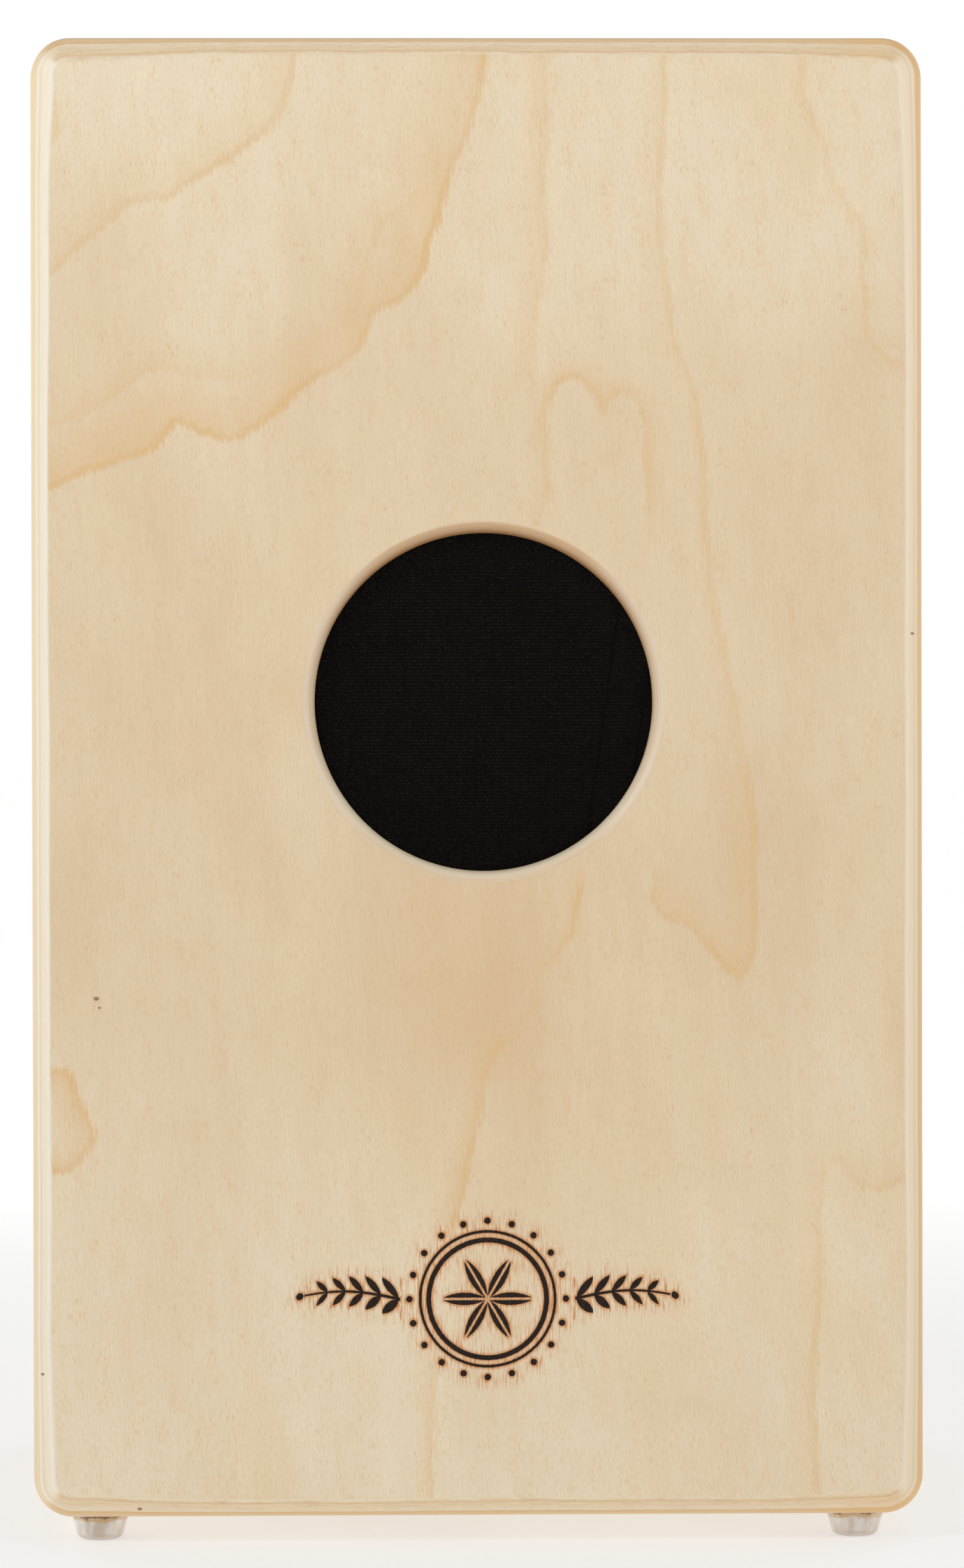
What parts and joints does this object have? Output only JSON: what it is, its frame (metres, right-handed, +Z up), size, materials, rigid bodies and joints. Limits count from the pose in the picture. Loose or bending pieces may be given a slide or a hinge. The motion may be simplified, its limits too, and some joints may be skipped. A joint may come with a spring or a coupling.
{
  "type": "cajon",
  "caption": "Upright plywood box drum with a round netted sound hole in the back, a thin screwed playing plate, rubbery feet and strings tuned from below.",
  "frame": {"origin": "on the floor under the middle of the box", "axes": "+Z up, -Y out of the sound hole in the back, +Y out of the playing plate, +X to the right when facing the sound hole"},
  "size_m": [0.29, 0.3, 0.49],
  "materials": {
    "birch_plywood": "satin lacquer over birch plywood, sanded round edges that show the plies",
    "beech": "bare planed beech",
    "black_net": "fine black hexagonal net",
    "clear_plastic": "glossy clear soft plastic",
    "yellow_zinc": "yellow passivated zinc on steel",
    "zinc_steel": "bright zinc on steel",
    "brass": "plain machined brass",
    "bronze_string": "bronze-wound string"
  },
  "bodies": {
    "shell": {"top_panel": "birch_plywood", "bottom_panel": "birch_plywood", "left_side_panel": "birch_plywood", "right_side_panel": "birch_plywood", "back_panel": "birch_plywood", "front_plate": "birch_plywood", "front_plate_screws": "zinc_steel", "corner_block_top_left": "beech", "corner_block_top_right": "beech", "corner_block_bottom_left": "beech", "corner_block_bottom_right": "beech", "hole_net": "black_net", "net_staples": "zinc_steel", "foot_back_left": "clear_plastic", "foot_back_right": "clear_plastic", "foot_front_left": "clear_plastic", "foot_front_right": "clear_plastic", "foot_screws": "yellow_zinc", "foot_washers": "zinc_steel", "string_rail": "beech", "tuner_block": "beech", "tuner_block_screws": "zinc_steel", "tension_washers": "zinc_steel", "strings_left": "bronze_string", "strings_right": "bronze_string"},
    "tension_screw_left": {"tension_screw_left": "zinc_steel"},
    "tension_screw_right": {"tension_screw_right": "zinc_steel"},
    "tension_nut_left": {"tension_nut_left": "brass"},
    "tension_nut_right": {"tension_nut_right": "brass"}
  },
  "joints": [
    {"name": "tension_screw_left_turn", "type": "hinge", "parent": "shell", "child": "tension_screw_left", "pos_m": [-0.026, 0.1385, 0.009], "axis": [0, 0, 1], "range_deg": [-1080, 1080]},
    {"name": "tension_nut_left_slide", "type": "slide", "parent": "shell", "child": "tension_nut_left", "axis": [0, 0, 1], "range_m": [-0.0024, 0.0024], "deforming": ["strings_left"]},
    {"name": "tension_screw_right_turn", "type": "hinge", "parent": "shell", "child": "tension_screw_right", "pos_m": [0.026, 0.1385, 0.009], "axis": [0, 0, 1], "range_deg": [-1080, 1080]},
    {"name": "tension_nut_right_slide", "type": "slide", "parent": "shell", "child": "tension_nut_right", "axis": [0, 0, 1], "range_m": [-0.0024, 0.0024], "deforming": ["strings_right"]}
  ],
  "couplings": [
    {"joint": "tension_screw_left_turn", "follows": "tension_nut_left_slide", "rad_per_m": -7854},
    {"joint": "tension_screw_right_turn", "follows": "tension_nut_right_slide", "rad_per_m": -7854}
  ]
}
